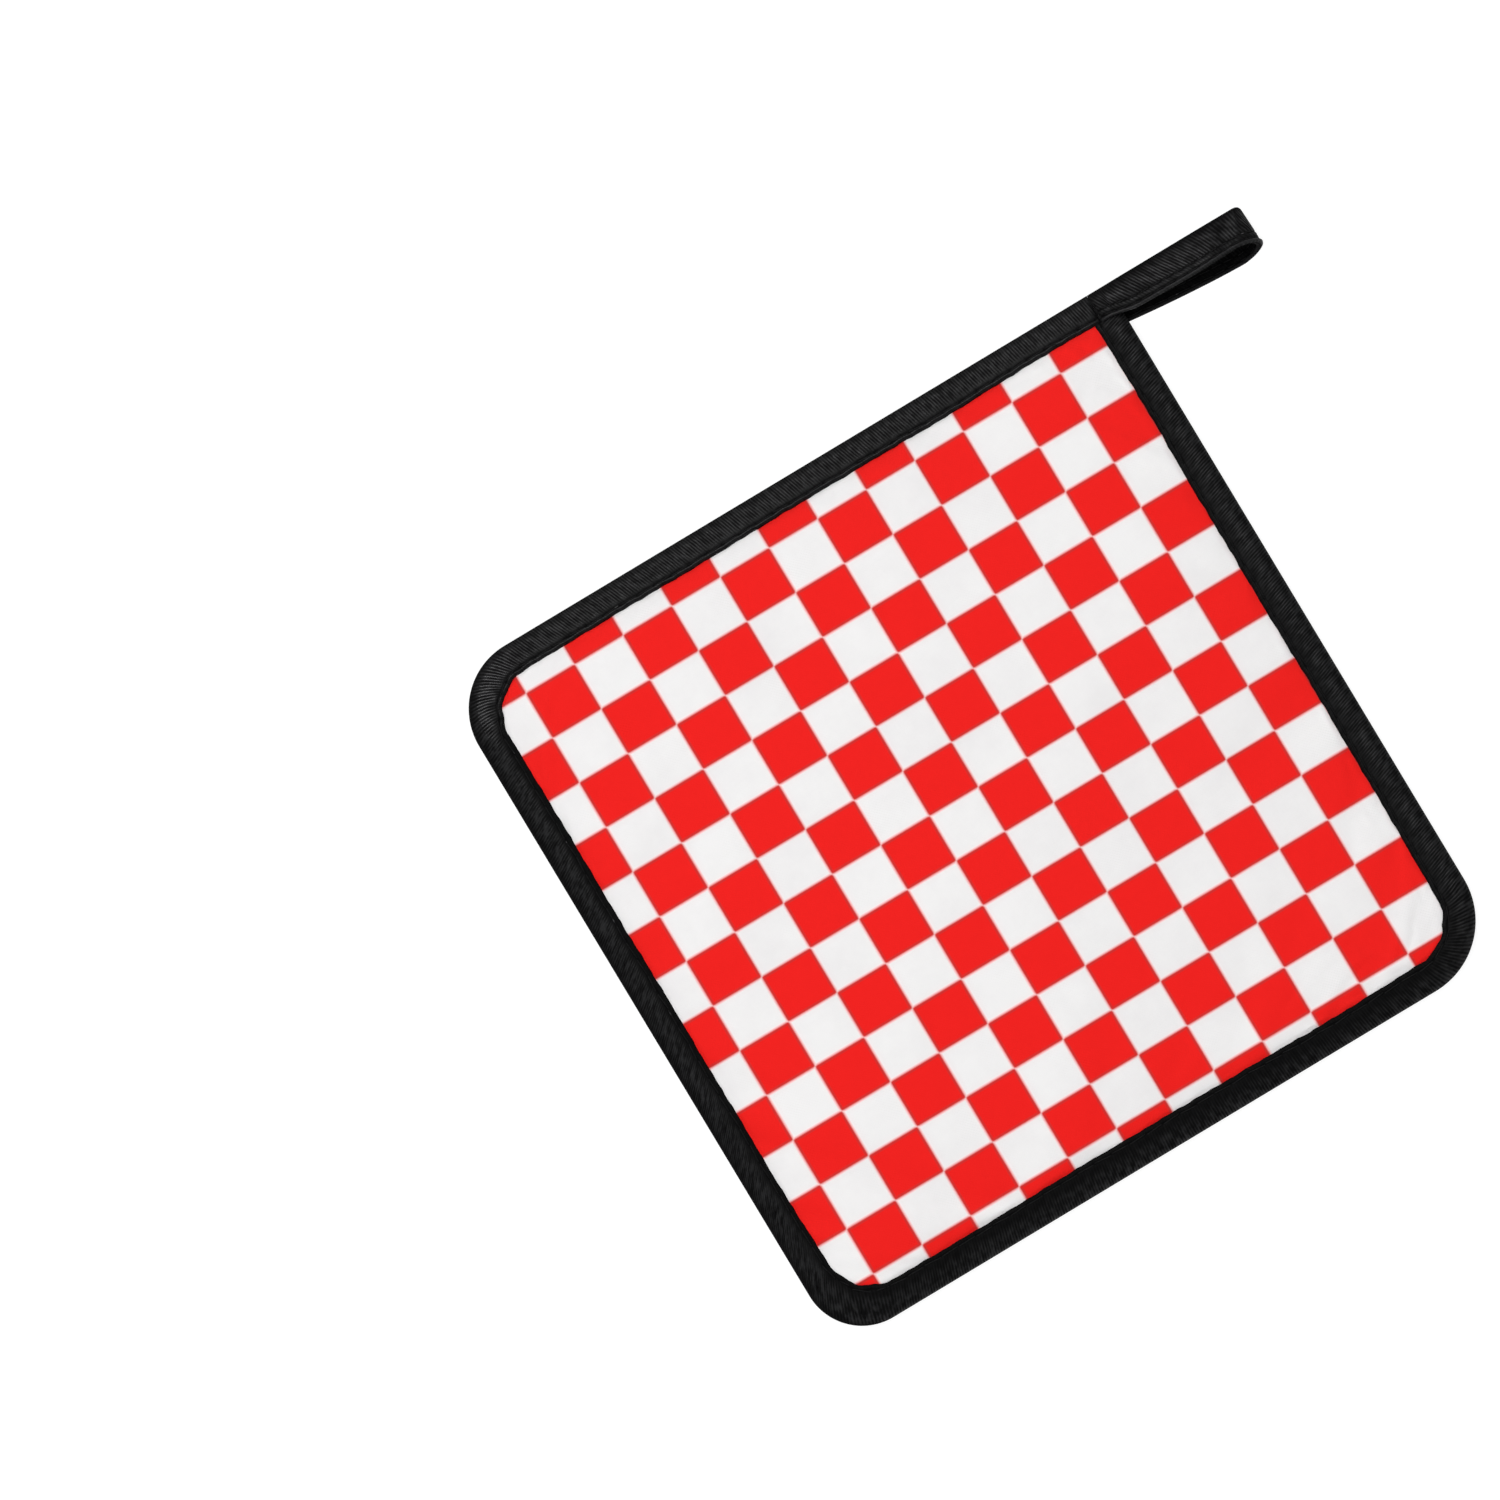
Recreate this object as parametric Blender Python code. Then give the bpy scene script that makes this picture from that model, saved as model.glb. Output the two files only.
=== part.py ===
"""A square pot holder lying on its back, 180 mm across its binding.

A filled pad of printed cloth has a thin basted edge. A woven tape is folded over that edge as a
binding, and the tape's end runs past one corner as a hanging loop that is sewn behind the corner.

Frame: X runs along the edge that carries the loop, towards the loop. Y points to that edge and
Z out of the printed face. The origin is the middle of the flat spot that the pad rests on.
"""
from math import cos, pi, sin
from typing import NamedTuple

import bmesh
import bpy
from mathutils import Matrix, Vector

MM = 0.001

# Driving sizes.
HALF = 90 * MM                 # from the middle to the binding's outer edge
GAP = 0.32 * MM                # between pieces that touch
EDGE_LEVEL = 4.3 * MM          # height of the mid-plane of the bound edge
FLANGE_HALF = 1.0 * MM         # half the thickness of the basted edge inside the tape
WALL = 1.1 * MM                # thickness of the folded tape, front or back
STRAP_HALF = 0.65 * MM         # half the thickness of the loop's folded tape
ROOT_START = 84.6 * MM         # where the loop's tape takes over from the binding

# The tape's section, from its outer edge (across 0) to its lip (across 1). The slot between its
# two walls holds the pad's edge.
SLOT_END = 0.195
SLOT_HALF = FLANGE_HALF + GAP
TAPE_ROUND = (
    # across, height above the mid-plane
    (1.00, 1.95 * MM),
    (0.94, 2.30 * MM),
    (0.60, SLOT_HALF + WALL),
    (0.25, 2.25 * MM),
    (0.08, 1.60 * MM),
    (0.00, 0.55 * MM),
)


class Side(NamedTuple):
    """One straight side of the square, met clockwise from the loop's corner."""
    name: str
    out: Vector                # away from the middle
    along: Vector              # clockwise
    widths: tuple              # the tape's width at even steps along the side
    outer_radius: float        # of the corner at the side's end, on the tape's outer edge
    lip_radius: float          # and on its lip


SIDES = (
    Side("right", Vector((1, 0, 0)), Vector((0, -1, 0)),
         (7.2 * MM, 6.9 * MM, 7.2 * MM, 7.2 * MM, 7.3 * MM), 19.0 * MM, 11.4 * MM),
    Side("bottom", Vector((0, -1, 0)), Vector((-1, 0, 0)),
         (7.3 * MM, 7.0 * MM, 7.4 * MM, 7.5 * MM, 7.5 * MM), 14.2 * MM, 11.5 * MM),
    Side("left", Vector((-1, 0, 0)), Vector((0, 1, 0)),
         (7.4 * MM, 7.1 * MM, 7.1 * MM, 7.1 * MM, 7.2 * MM), 17.0 * MM, 11.4 * MM),
    Side("top", Vector((0, 1, 0)), Vector((1, 0, 0)),
         (7.2 * MM, 6.9 * MM, 6.9 * MM, 6.8 * MM, 7.0 * MM), 2.6 * MM, 0.8 * MM),
)
SIDE_STEPS = 8
CORNER_STEPS = 7
LOOP_CORNER_WIDTH = SIDES[0].widths[0]


class Level(NamedTuple):
    """One closed line round the pad."""
    across: float              # 0 at the tape's outer edge, 1 at its lip
    past_lip: float            # then this far inside the lip
    rounding: float            # 0 keeps the square outline, 1 makes it a circle
    shrink: float              # then drawn towards the middle by this factor
    height: float


PAD_LEVELS = (
    # The back, from the flat spot out to the tape.
    Level(1, 3.00 * MM, 0.15, 0.90, 0.00 * MM),
    Level(1, 3.00 * MM, 0.07, 0.95, 0.15 * MM),
    Level(1, 3.00 * MM, 0.00, 1.00, 0.85 * MM),
    Level(1, 2.00 * MM, 0.00, 1.00, 1.35 * MM),
    Level(1, 1.15 * MM, 0.00, 1.00, 1.95 * MM),
    Level(1, 0.60 * MM, 0.00, 1.00, 2.60 * MM),
    Level(1, 0.22 * MM, 0.00, 1.00, EDGE_LEVEL - FLANGE_HALF),
    # The basted edge inside the tape.
    Level(0.300, 0, 0, 1, EDGE_LEVEL - FLANGE_HALF),
    Level(0.245, 0, 0, 1, EDGE_LEVEL - 0.6 * FLANGE_HALF),
    Level(0.245, 0, 0, 1, EDGE_LEVEL + 0.6 * FLANGE_HALF),
    Level(0.300, 0, 0, 1, EDGE_LEVEL + FLANGE_HALF),
    # The printed face, from the tape up to the crown.
    Level(1, 0.22 * MM, 0.00, 1.00, EDGE_LEVEL + FLANGE_HALF),
    Level(1, 0.60 * MM, 0.00, 1.00, 5.78 * MM),
    Level(1, 1.15 * MM, 0.00, 1.00, 6.06 * MM),
    Level(1, 2.00 * MM, 0.00, 1.00, 6.33 * MM),
    Level(1, 3.00 * MM, 0.00, 1.00, 6.52 * MM),
    Level(1, 3.00 * MM, 0.08, 0.95, 6.80 * MM),
    Level(1, 3.00 * MM, 0.20, 0.88, 7.10 * MM),
    Level(1, 3.00 * MM, 0.40, 0.76, 7.70 * MM),
    Level(1, 3.00 * MM, 0.65, 0.60, 8.40 * MM),
    Level(1, 3.00 * MM, 0.85, 0.40, 9.15 * MM),
    Level(1, 3.00 * MM, 1.00, 0.20, 9.65 * MM),
    Level(1, 3.00 * MM, 1.00, 0.08, 9.80 * MM),
)


class LoopSection(NamedTuple):
    """The loop's tape cut across: the middle of its folded edge and of its stitched lip."""
    x: float
    fold_y: float
    fold_z: float
    lip_y: float
    lip_z: float


FRONT_SECTIONS = (
    LoopSection(88.75 * MM, 89.35 * MM, 5.90 * MM, 83.65 * MM, 5.90 * MM),
    LoopSection(93.00 * MM, 89.35 * MM, 6.35 * MM, 82.40 * MM, 6.75 * MM),
    LoopSection(99.00 * MM, 89.35 * MM, 6.70 * MM, 82.15 * MM, 8.00 * MM),
    LoopSection(109.0 * MM, 89.35 * MM, 7.00 * MM, 82.00 * MM, 9.70 * MM),
)
TURN_FRONT = LoopSection(0, 89.35 * MM, 7.30 * MM, 82.50 * MM, 10.60 * MM)
TURN_BACK = LoopSection(0, 86.60 * MM, 1.05 * MM, 78.65 * MM, 0.95 * MM)
BACK_SECTIONS = (
    LoopSection(109.0 * MM, 87.20 * MM, 1.00 * MM, 79.05 * MM, 0.95 * MM),
    LoopSection(99.00 * MM, 87.90 * MM, 0.97 * MM, 79.85 * MM, 0.95 * MM),
    LoopSection(90.00 * MM, 88.60 * MM, 0.95 * MM, 80.75 * MM, 0.95 * MM),
    LoopSection(84.75 * MM, 88.90 * MM, 0.95 * MM, 81.30 * MM, 0.95 * MM),
)
FOLD_TURN_X = 122.6 * MM       # where the folded edge starts to turn back, and how far it reaches
FOLD_REACH = 2.4 * MM
LIP_TURN_X = 119.0 * MM        # the lip opens wider, so it turns earlier
LIP_REACH = 6.1 * MM
TURN_STEPS = 8
TURN_HOLD = 1.7                # the fold keeps its place before it slips back under the strap
CURVE_STEPS = 3                # stations between two sections
TAIL_SEAM = 0.4 * MM           # how far the root's back wall reaches down to meet the tail


def clear_scene():
    for old in list(bpy.data.objects):
        bpy.data.objects.remove(old, do_unlink=True)


def new_collection(name):
    collection = bpy.data.collections.new(name)
    bpy.context.scene.collection.children.link(collection)
    return collection


def cloth_material(name, colour, roughness):
    material = bpy.data.materials.new(name)
    material.use_nodes = True
    shader = material.node_tree.nodes["Principled BSDF"]
    shader.inputs["Base Color"].default_value = (*colour, 1)
    shader.inputs["Roughness"].default_value = roughness
    shader.inputs["Metallic"].default_value = 0
    return material


def loft(name, rings, collection, material):
    """One closed body through rings of as many points each, with a flat cap at both ends."""
    shape = bmesh.new()
    loops = [[shape.verts.new(point) for point in ring] for ring in rings]
    count = len(rings[0])
    for near, far in zip(loops, loops[1:]):
        for i in range(count):
            j = (i + 1) % count
            shape.faces.new((near[i], near[j], far[j], far[i]))
    shape.faces.new(loops[0])
    shape.faces.new(loops[-1])
    bmesh.ops.recalc_face_normals(shape, faces=shape.faces[:])
    mesh = bpy.data.meshes.new(name)
    shape.to_mesh(mesh)
    shape.free()
    mesh.shade_smooth()
    mesh.set_sharp_from_angle(angle=pi / 4)
    mesh.materials.append(material)
    thing = bpy.data.objects.new(name, mesh)
    collection.objects.link(thing)
    return thing


def spread(values, where):
    """The value at a place from 0 to 1 along evenly spaced values."""
    place = where * (len(values) - 1)
    first = min(int(place), len(values) - 2)
    return values[first] + (values[first + 1] - values[first]) * (place - first)


def edge_line(open_ends, at_lip):
    """Points along the tape's outer edge or its lip, clockwise from the loop's corner.

    With open ends the line starts below the loop's root and stops beside it; otherwise it is a
    whole ring that turns at the loop's corner too.
    """
    points = []
    for number, side in enumerate(SIDES):
        before = SIDES[number - 1]
        after = SIDES[(number + 1) % len(SIDES)]
        start_radius = before.lip_radius if at_lip else before.outer_radius
        end_radius = side.lip_radius if at_lip else side.outer_radius
        start_inset = before.widths[-1] if at_lip else 0
        end_inset = after.widths[0] if at_lip else 0
        start = -(HALF - start_inset - start_radius)
        end = HALF - end_inset - end_radius
        last = number == len(SIDES) - 1
        if open_ends and number == 0:
            start = -(HALF - LOOP_CORNER_WIDTH - GAP)
        if open_ends and last:
            end = ROOT_START - GAP
        for step in range(SIDE_STEPS + 1):
            where = step / SIDE_STEPS
            inset = spread(side.widths, where) if at_lip else 0
            points.append(side.out * (HALF - inset) + side.along * (start + (end - start) * where))
        if open_ends and last:
            break
        inset = side.widths[-1] if at_lip else 0
        middle = side.out * (HALF - inset - end_radius) + after.out * (HALF - end_inset - end_radius)
        for step in range(1, CORNER_STEPS):
            turn = pi / 2 * step / CORNER_STEPS
            points.append(middle + end_radius * (side.out * cos(turn) + after.out * sin(turn)))
    return points


def raised(point, height):
    return Vector((point.x, point.y, height))


def make_pad(collection, material):
    outer = edge_line(open_ends=False, at_lip=False)
    lip = edge_line(open_ends=False, at_lip=True)
    rings = []
    for level in PAD_LEVELS:
        ring = []
        for far, near in zip(outer, lip):
            inward = (near - far).normalized()
            point = far.lerp(near, level.across) + inward * level.past_lip
            point = point.lerp(point.normalized() * HALF, level.rounding)
            ring.append(raised(point * level.shrink, level.height))
        rings.append(ring)
    return loft("pad", rings, collection, material)


def make_binding(collection, material):
    slot = [(SLOT_END, SLOT_HALF), (1.0, SLOT_HALF)]
    front = slot + list(TAPE_ROUND)
    section = front + [(across, -height) for across, height in reversed(front)]
    outer = edge_line(open_ends=True, at_lip=False)
    lip = edge_line(open_ends=True, at_lip=True)
    rings = []
    for far, near in zip(outer, lip):
        rings.append([raised(far.lerp(near, across), EDGE_LEVEL + height)
                      for across, height in section])
    return loft("binding", rings, collection, material)


def smooth_line(points, steps):
    """A Catmull-Rom curve through points, with so many steps from each to the next."""
    padded = [points[0] * 2 - points[1]] + points + [points[-1] * 2 - points[-2]]
    line = []
    for a, b, c, d in zip(padded, padded[1:], padded[2:], padded[3:]):
        for step in range(steps):
            t = step / steps
            line.append(0.5 * (2 * b + (c - a) * t + (2 * a - 5 * b + 4 * c - d) * t ** 2
                               + (3 * b - a - 3 * c + d) * t ** 3))
    return line + [points[-1]]


def turn_line(front, back, start_x, reach, hold):
    """Half an ellipse from the front strap's edge round to the back strap's."""
    line = []
    for step in range(TURN_STEPS + 1):
        turn = pi * step / TURN_STEPS
        over = (1 - cos(turn)) / 2
        y = front.y + (back.y - front.y) * over ** hold
        z = front.z + (back.z - front.z) * over
        line.append(Vector((start_x + reach * sin(turn), y, z)))
    return line


def loop_edges():
    """The middle lines of the loop's folded edge and of its lip, from root to tail."""
    fold = [Vector((row.x, row.fold_y, row.fold_z)) for row in FRONT_SECTIONS]
    lip = [Vector((row.x, row.lip_y, row.lip_z)) for row in FRONT_SECTIONS]
    fold += turn_line(Vector((0, TURN_FRONT.fold_y, TURN_FRONT.fold_z)),
                      Vector((0, TURN_BACK.fold_y, TURN_BACK.fold_z)), FOLD_TURN_X, FOLD_REACH,
                      TURN_HOLD)
    lip += turn_line(Vector((0, TURN_FRONT.lip_y, TURN_FRONT.lip_z)),
                     Vector((0, TURN_BACK.lip_y, TURN_BACK.lip_z)), LIP_TURN_X, LIP_REACH, 1)
    fold += [Vector((row.x, row.fold_y, row.fold_z)) for row in BACK_SECTIONS]
    lip += [Vector((row.x, row.lip_y, row.lip_z)) for row in BACK_SECTIONS]
    return smooth_line(fold, CURVE_STEPS), smooth_line(lip, CURVE_STEPS)


def strap_ring(fold, lip, ahead):
    """A flat section with round edges, across a strap that runs the way of ahead."""
    across = (lip - fold).normalized()
    normal = ahead.cross(across).normalized()
    ring = []
    for edge, side in ((fold, -1), (lip, 1)):
        for step in range(4):
            turn = pi * step / 3
            ring.append(edge + STRAP_HALF * side * (across * sin(turn) - normal * cos(turn)))
    return ring


def make_hanging_loop(collection, cutters, material):
    fold, lip = loop_edges()
    middle = [(a + b) / 2 for a, b in zip(fold, lip)]
    last = len(middle) - 1
    rings = []
    for i in range(last + 1):
        ahead = middle[min(i + 1, last)] - middle[max(i - 1, 0)]
        rings.append(strap_ring(fold[i], lip[i], ahead))
    loop = loft("hanging_loop", rings, collection, material)

    # The root is tape wrapped round the pad's corner; its back wall reaches down to the tail.
    front = list(TAPE_ROUND)
    back = [(across, -height - TAIL_SEAM) for across, height in reversed(front)]
    rings = []
    for x in (ROOT_START, HALF):
        rings.append([Vector((x, HALF - across * LOOP_CORNER_WIDTH, EDGE_LEVEL + height))
                      for across, height in front + back])
    root = loft("loop_root", rings, cutters, material)

    slot_far = HALF - SLOT_END * LOOP_CORNER_WIDTH
    size = 2 * (slot_far - (HALF - LOOP_CORNER_WIDTH))
    shape = bmesh.new()
    bmesh.ops.create_cube(shape, size=1, matrix=Matrix.Diagonal((size, size, 2 * SLOT_HALF, 1)))
    mesh = bpy.data.meshes.new("corner_pocket")
    shape.to_mesh(mesh)
    shape.free()
    pocket = bpy.data.objects.new("corner_pocket", mesh)
    pocket.location = (slot_far - size / 2, slot_far - size / 2, EDGE_LEVEL)
    cutters.objects.link(pocket)

    for guide, operation in ((root, "UNION"), (pocket, "DIFFERENCE")):
        guide.hide_render = True
        guide.display_type = "WIRE"
        cut = loop.modifiers.new(guide.name, "BOOLEAN")
        cut.object = guide
        cut.operation = operation
    return loop


clear_scene()
holder = new_collection("pot_holder")
cutters = new_collection("cutters")
checked_cloth = cloth_material("checked_cloth", (0.87, 0.22, 0.22), 0.85)
black_tape = cloth_material("black_tape", (0.012, 0.012, 0.013), 0.7)
make_pad(holder, checked_cloth)
make_binding(holder, black_tape)
make_hanging_loop(holder, cutters, black_tape)
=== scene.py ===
"""Dresses the pot holder: its printed pad, the ribbed tape round it, the stitching and the loop."""
from math import cos, pi, radians, sin
from typing import NamedTuple

import bpy
import numpy as np
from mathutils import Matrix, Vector


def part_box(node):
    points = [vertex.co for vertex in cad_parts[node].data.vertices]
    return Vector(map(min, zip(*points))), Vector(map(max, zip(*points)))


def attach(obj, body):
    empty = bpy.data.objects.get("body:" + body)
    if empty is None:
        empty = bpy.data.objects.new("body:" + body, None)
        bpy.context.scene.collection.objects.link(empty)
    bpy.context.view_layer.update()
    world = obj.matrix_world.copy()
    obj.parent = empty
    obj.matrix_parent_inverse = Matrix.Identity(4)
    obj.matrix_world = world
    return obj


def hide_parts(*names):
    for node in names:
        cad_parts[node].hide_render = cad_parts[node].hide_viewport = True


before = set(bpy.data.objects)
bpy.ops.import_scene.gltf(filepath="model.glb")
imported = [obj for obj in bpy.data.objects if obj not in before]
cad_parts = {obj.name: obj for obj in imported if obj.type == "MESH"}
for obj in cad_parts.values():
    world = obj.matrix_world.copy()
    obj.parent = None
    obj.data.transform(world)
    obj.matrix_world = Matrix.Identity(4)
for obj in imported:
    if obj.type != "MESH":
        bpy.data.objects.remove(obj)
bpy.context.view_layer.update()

# The pad -------------------------------------------------------------------------------------
# Two polyester cloths, printed in front and plain behind, lie on a sheet of cotton wadding. Their
# edges are basted together thin, to go inside the tape, and the wadding swells up just inside it,
# with the small puckers that a seam draws into cloth.
MM = 0.001
tape_low, tape_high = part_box("binding")
HALF = tape_high.y                                   # from the middle to the tape's outer edge
EDGE_LEVEL = (tape_low.z + tape_high.z) / 2          # mid-plane of the bound edge
pad_low, pad_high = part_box("pad")
CROWN = pad_high.z - EDGE_LEVEL                      # the face's rise above that plane
SAG = EDGE_LEVEL - pad_low.z                         # and how far the back lies below it

# Where the tape's lip runs in front, round the part of the face that shows.
LIP_RIGHT = HALF - 7.20 * MM
LIP_LEFT = -HALF + 7.20 * MM
LIP_TOP = HALF - 7.10 * MM
LIP_BOTTOM = -HALF + 7.35 * MM
CORNER_RADII = {(1, -1): 11.4 * MM, (-1, -1): 11.5 * MM, (-1, 1): 11.4 * MM, (1, 1): 0.8 * MM}

BASTED_HALF = 1.0 * MM         # half the thickness of the basted edge
LIP_HALF = 1.38 * MM           # the face's height where it comes out of the tape
RIM_RISE = 0.60 * MM           # the steep part of the face, just inside the tape
RIM_REACH = 2.6 * MM
BACK_REACH = 2.0 * MM
PAD_CELLS = 100
EDGE_CROWDING = 0.65           # draws the grid's lines closer together towards the tape
PUCKER_LIMIT = 0.28 * MM       # how far the settled cloth's puckers may stand out
PUCKER_CELLS = 4               # what swells over more cells than these is left out of them
SETTLING_FRAMES = 20

# Lines round the basted edge: how far past the lip each runs, and its height as a share of
# BASTED_HALF. They come back in the other order below the mid-plane.
BASTED_LINES = ((1.2 * MM, 1), (3.2 * MM, 1), (5.1 * MM, 1), (5.3 * MM, 0.5))


class Pucker(NamedTuple):
    """A soft trough pressed into the face, in mm, and its direction in degrees from +X."""
    x: float
    y: float
    turn: float
    length: float
    width: float
    depth: float


PUCKERS = (
    Pucker(-36.5, -77.0, 84, 5.0, 1.3, 0.30),
    Pucker(-28.5, -80.0, 98, 3.0, 1.2, 0.22),
    Pucker(-55.0, -79.5, 80, 3.4, 1.4, 0.18),
    Pucker(-4.0, -79.0, 95, 4.0, 1.6, 0.18),
    Pucker(14.0, -80.0, 76, 3.0, 1.3, 0.16),
    Pucker(36.0, -79.0, 101, 3.6, 1.5, 0.18),
    Pucker(62.7, -73.0, 120, 7.0, 2.4, 0.22),
    Pucker(76.0, 35.0, -45, 7.5, 2.2, 0.24),
    Pucker(77.5, -18.0, 88, 9.0, 3.4, 0.22),
    Pucker(76.5, 75.0, 48, 6.0, 2.2, 0.25),
    Pucker(79.5, -51.0, 8, 3.0, 1.6, 0.16),
    Pucker(-79.0, -52.0, -6, 3.2, 1.6, 0.16),
    Pucker(-79.5, -12.0, 5, 3.0, 1.5, 0.15),
    Pucker(-79.0, 34.0, -9, 3.4, 1.7, 0.16),
    Pucker(28.0, 79.5, 86, 3.0, 1.6, 0.14),
    Pucker(-22.0, 79.5, 95, 3.2, 1.6, 0.15),
)

centre_x, centre_y = (LIP_RIGHT + LIP_LEFT) / 2, (LIP_TOP + LIP_BOTTOM) / 2
half_x, half_y = (LIP_RIGHT - LIP_LEFT) / 2, (LIP_TOP - LIP_BOTTOM) / 2


def round_corners(x, y):
    """Presses the grid's square corners into the lip's round ones."""
    for (right, up), radius in CORNER_RADII.items():
        a = ((x - centre_x) * right - half_x + radius) / radius
        b = ((y - centre_y) * up - half_y + radius) / radius
        inside = (a > 0) & (b > 0)
        squeeze = np.where(inside, np.maximum(a, b) / np.maximum(np.hypot(a, b), 1e-9), 1)
        x = np.where(inside, centre_x + right * (half_x - radius + radius * a * squeeze), x)
        y = np.where(inside, centre_y + up * (half_y - radius + radius * b * squeeze), y)
    return x, y


def inside_lip(x, y):
    """How far a place lies inside the tape's lip."""
    across, up = x - centre_x, y - centre_y
    radius = np.zeros_like(x)
    for (right, top), corner in CORNER_RADII.items():
        radius = np.where((across * right >= 0) & (up * top >= 0), corner, radius)
    a = np.abs(across) - half_x + radius
    b = np.abs(up) - half_y + radius
    return radius - np.hypot(np.maximum(a, 0), np.maximum(b, 0)) - np.minimum(np.maximum(a, b), 0)


def face_height(x, y):
    inside = np.maximum(inside_lip(x, y), 0)
    rim = RIM_RISE * (1 - np.exp(-inside / RIM_REACH))
    dome = (1 - ((x - centre_x) / half_x) ** 2) * (1 - ((y - centre_y) / half_y) ** 2)
    height = LIP_HALF + rim + (CROWN - LIP_HALF - RIM_RISE) * dome
    for dip in PUCKERS:
        right, up, turn = x / MM - dip.x, y / MM - dip.y, radians(dip.turn)
        along = (right * cos(turn) + up * sin(turn)) / dip.length
        across = (up * cos(turn) - right * sin(turn)) / dip.width
        height = height - dip.depth * MM * np.exp(-along ** 2 - across ** 2)
    return height


def back_height(x, y):
    inside = np.maximum(inside_lip(x, y), 0)
    return -BASTED_HALF - (SAG - BASTED_HALF) * (1 - np.exp(-inside / BACK_REACH))


step = np.linspace(-1, 1, PAD_CELLS + 1)
line = step + EDGE_CROWDING * np.sin(pi * step) / pi
grid_x, grid_y = np.meshgrid(centre_x + half_x * line, centre_y + half_y * line, indexing="ij")
grid_x, grid_y = round_corners(grid_x, grid_y)
lines = PAD_CELLS + 1
number = np.arange(lines * lines).reshape(lines, lines)
rim = np.concatenate([number[:-1, 0], number[-1, :-1], number[:0:-1, -1], number[0, :0:-1]])

rim_x, rim_y = grid_x.ravel()[rim], grid_y.ravel()[rim]
nudge = 0.02 * MM
out_x = inside_lip(rim_x - nudge, rim_y) - inside_lip(rim_x + nudge, rim_y)
out_y = inside_lip(rim_x, rim_y - nudge) - inside_lip(rim_x, rim_y + nudge)
out_size = np.hypot(out_x, out_y)

layers = [np.stack([grid_x, grid_y, EDGE_LEVEL + height(grid_x, grid_y)], -1).reshape(-1, 3)
          for height in (face_height, back_height)]
for side in (1, -1):
    for past_lip, share in BASTED_LINES[::side]:
        layers.append(np.stack([rim_x + past_lip * out_x / out_size,
                                rim_y + past_lip * out_y / out_size,
                                np.full_like(rim_x, EDGE_LEVEL + side * share * BASTED_HALF)], -1))
pad_points = np.concatenate(layers)

face_cells = np.stack([number[:-1, :-1], number[1:, :-1], number[1:, 1:], number[:-1, 1:]], -1)
face_cells = face_cells.reshape(-1, 4)
back_start = lines * lines
back_cells = face_cells[:, ::-1] + back_start
rings = [rim]
rings += [2 * back_start + len(rim) * k + np.arange(len(rim)) for k in range(2 * len(BASTED_LINES))]
rings += [rim + back_start]
edge_cells = [np.stack([upper, lower, np.roll(lower, -1), np.roll(upper, -1)], -1)
              for upper, lower in zip(rings, rings[1:])]
pad_cells = np.concatenate([face_cells, back_cells, *edge_cells])


def placed(name, data):
    """An object made from a mesh, a lamp or a camera, and put in the scene."""
    made = bpy.data.objects.new(name, data)
    bpy.context.scene.collection.objects.link(made)
    return made


def settled(points, cells):
    """Where the cloth comes to rest when the wadding presses it out from its basted edge."""
    mesh = bpy.data.meshes.new("loose_pad")
    mesh.from_pydata(points.tolist(), [], cells.tolist())
    loose = placed("loose_pad", mesh)
    basted = loose.vertex_groups.new(name="basted")
    held = [*rim.tolist(), *(rim + back_start).tolist(), *range(2 * back_start, len(points))]
    basted.add(held, 1.0, "REPLACE")
    cloth = loose.modifiers.new("settle", "CLOTH")
    setting = cloth.settings
    setting.quality = 6
    setting.mass = 0.15
    setting.tension_stiffness = setting.compression_stiffness = 12
    setting.shear_stiffness = 6
    setting.bending_stiffness = 0.02
    setting.vertex_group_mass = basted.name
    setting.shrink_min = -0.02
    setting.use_pressure = True
    setting.uniform_pressure_force = 4
    setting.effector_weights.gravity = 0
    cloth.collision_settings.use_collision = False
    scene = bpy.context.scene
    for frame_number in range(1, SETTLING_FRAMES + 1):
        scene.frame_set(frame_number)
    resting = loose.evaluated_get(bpy.context.evaluated_depsgraph_get()).to_mesh()
    places = np.empty(len(points) * 3)
    resting.vertices.foreach_get("co", places)
    scene.frame_set(1)
    bpy.data.objects.remove(loose, do_unlink=True)
    return places.reshape(-1, 3)


def blurred(values, reach):
    """A grid's values smoothed over so many cells."""
    weights = np.exp(-(np.arange(-3 * reach, 3 * reach + 1) / reach) ** 2)
    weights = weights / weights.sum()
    for axis in (0, 1):
        padded = np.pad(values, [(3 * reach, 3 * reach) if a == axis else (0, 0) for a in (0, 1)],
                        mode="edge")
        values = np.apply_along_axis(np.convolve, axis, padded, weights, "valid")
    return values


rest = settled(pad_points, pad_cells)
for start in (0, back_start):
    layer = slice(start, start + back_start)
    lift = (rest[layer, 2] - pad_points[layer, 2]).reshape(lines, lines)
    fine = lift - blurred(lift, PUCKER_CELLS)
    pad_points[layer, 2] += PUCKER_LIMIT * np.tanh(fine / PUCKER_LIMIT).ravel()
    if start:
        pad_points[layer, 2] = np.maximum(pad_points[layer, 2], pad_low.z)

pad_mesh = bpy.data.meshes.new("pad_cloth")
pad_mesh.from_pydata(pad_points.tolist(), [], pad_cells.tolist())
cloths = np.repeat([0, 1, 0], [len(face_cells), len(back_cells), sum(map(len, edge_cells))])
pad_mesh.polygons.foreach_set("material_index", cloths.tolist())
pad_mesh.shade_smooth()
pad_cloth = placed("pad_cloth", pad_mesh)


def feed(tree, socket, value):
    """Links a socket to another node's output, or gives it a value."""
    if isinstance(value, bpy.types.NodeSocket):
        tree.links.new(value, socket)
    else:
        socket.default_value = value


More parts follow.
